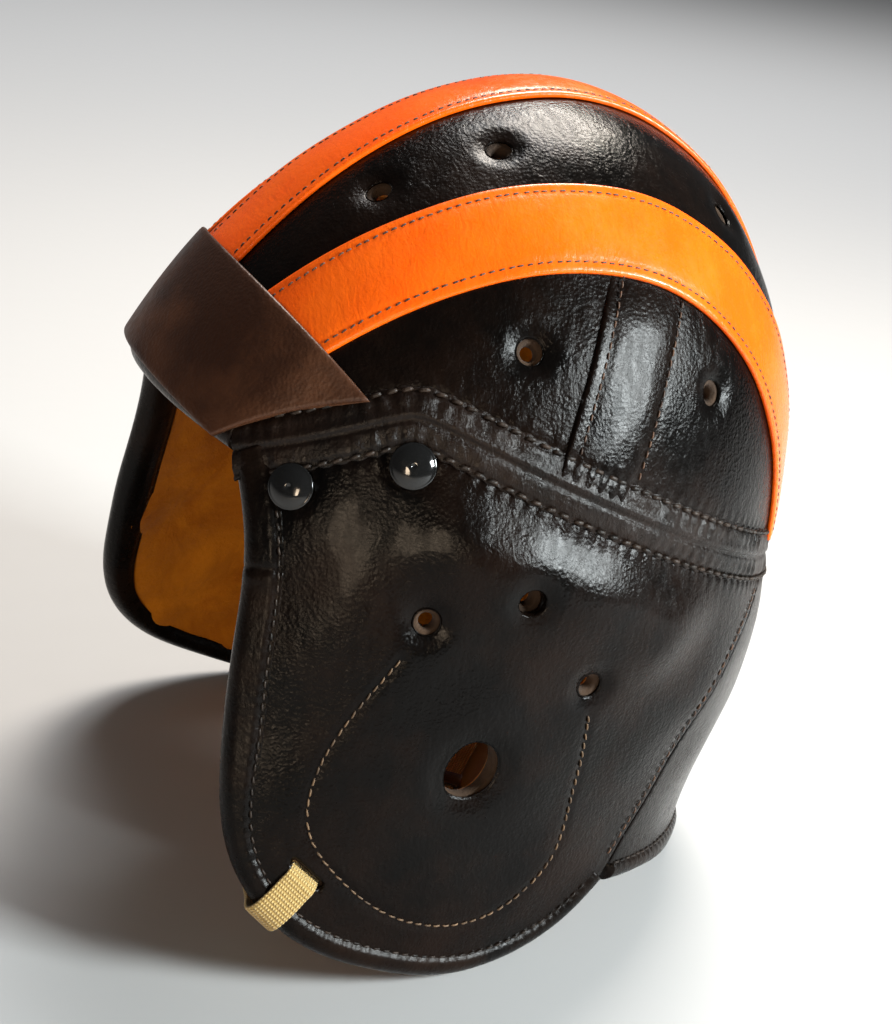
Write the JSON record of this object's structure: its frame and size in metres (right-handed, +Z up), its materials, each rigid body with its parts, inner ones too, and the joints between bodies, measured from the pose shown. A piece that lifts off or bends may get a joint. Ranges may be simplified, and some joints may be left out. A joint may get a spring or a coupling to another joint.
{
  "type": "leather football helmet",
  "caption": "Padded leather football helmet with striped crown, forehead band, ear flaps, felt lining and a webbing chin strap.",
  "frame": {"origin": "on the surface the helmet stands on, below the middle of its box", "axes": "+Z up, front faces -Y, wearer's left is +X; the helmet leans back on its ear flaps and neck edge"},
  "size_m": [0.209, 0.2226, 0.2517],
  "materials": {
    "black_leather": "glossy pebbled leather",
    "orange_leather": "glossy patent leather",
    "brown_leather": "satin leather",
    "binding_leather": "satin rolled leather",
    "welt_leather": "satin leather",
    "felt_pad": "pressed felt",
    "suede_lining": "napped suede",
    "black_enamel": "glossy enamel",
    "nickel": "satin nickel",
    "tan_webbing": "ribbed woven cotton",
    "keeper_leather": "satin leather"
  },
  "bodies": {
    "shell": {"brow_binding": "binding_leather", "buckle_loop": "tan_webbing", "crown_lining": "suede_lining", "crown_pad": "felt_pad", "crown_side_front_left": "black_leather", "crown_side_front_right": "black_leather", "crown_side_rear_left": "black_leather", "crown_side_rear_right": "black_leather", "crown_top_left": "black_leather", "crown_top_right": "black_leather", "ear_flap_left": "black_leather", "ear_flap_right": "black_leather", "flap_binding_left": "binding_leather", "flap_binding_right": "binding_leather", "flap_lining_left": "suede_lining", "flap_lining_right": "suede_lining", "flap_pad_left": "felt_pad", "flap_pad_right": "felt_pad", "forehead_band": "brown_leather", "neck_binding": "binding_leather", "neck_lining": "suede_lining", "neck_pad": "felt_pad", "neck_panel": "black_leather", "seam_welt_left": "welt_leather", "seam_welt_right": "welt_leather", "snap_caps_left": "black_enamel", "snap_caps_right": "black_enamel", "snap_posts_left": "nickel", "snap_posts_right": "nickel", "snap_washers_left": "nickel", "snap_washers_right": "nickel", "strap_tab": "tan_webbing", "stripe_centre": "orange_leather", "stripe_left": "orange_leather", "stripe_right": "orange_leather"},
    "chin_strap": {"chin_strap": "tan_webbing"},
    "keeper": {"strap_keeper": "keeper_leather"},
    "buckle": {"buckle_frame": "nickel"}
  },
  "joints": [
    {"name": "chin_strap_swing", "type": "hinge", "parent": "shell", "child": "chin_strap", "pos_m": [0.09935, -0.0863, 0.02868], "axis": [-0.3207, -0.6913, 0.6474], "range_deg": [0, 150]},
    {"name": "keeper_slide", "type": "slide", "parent": "chin_strap", "child": "keeper", "axis": [-0.8, 0.6, 0], "range_m": [-0.025, 0.03]},
    {"name": "buckle_swing", "type": "hinge", "parent": "shell", "child": "buckle", "pos_m": [-0.10055, -0.06688, 0.04844], "axis": [-0.2289, 0.7105, -0.6654], "range_deg": [0, 120]}
  ]
}
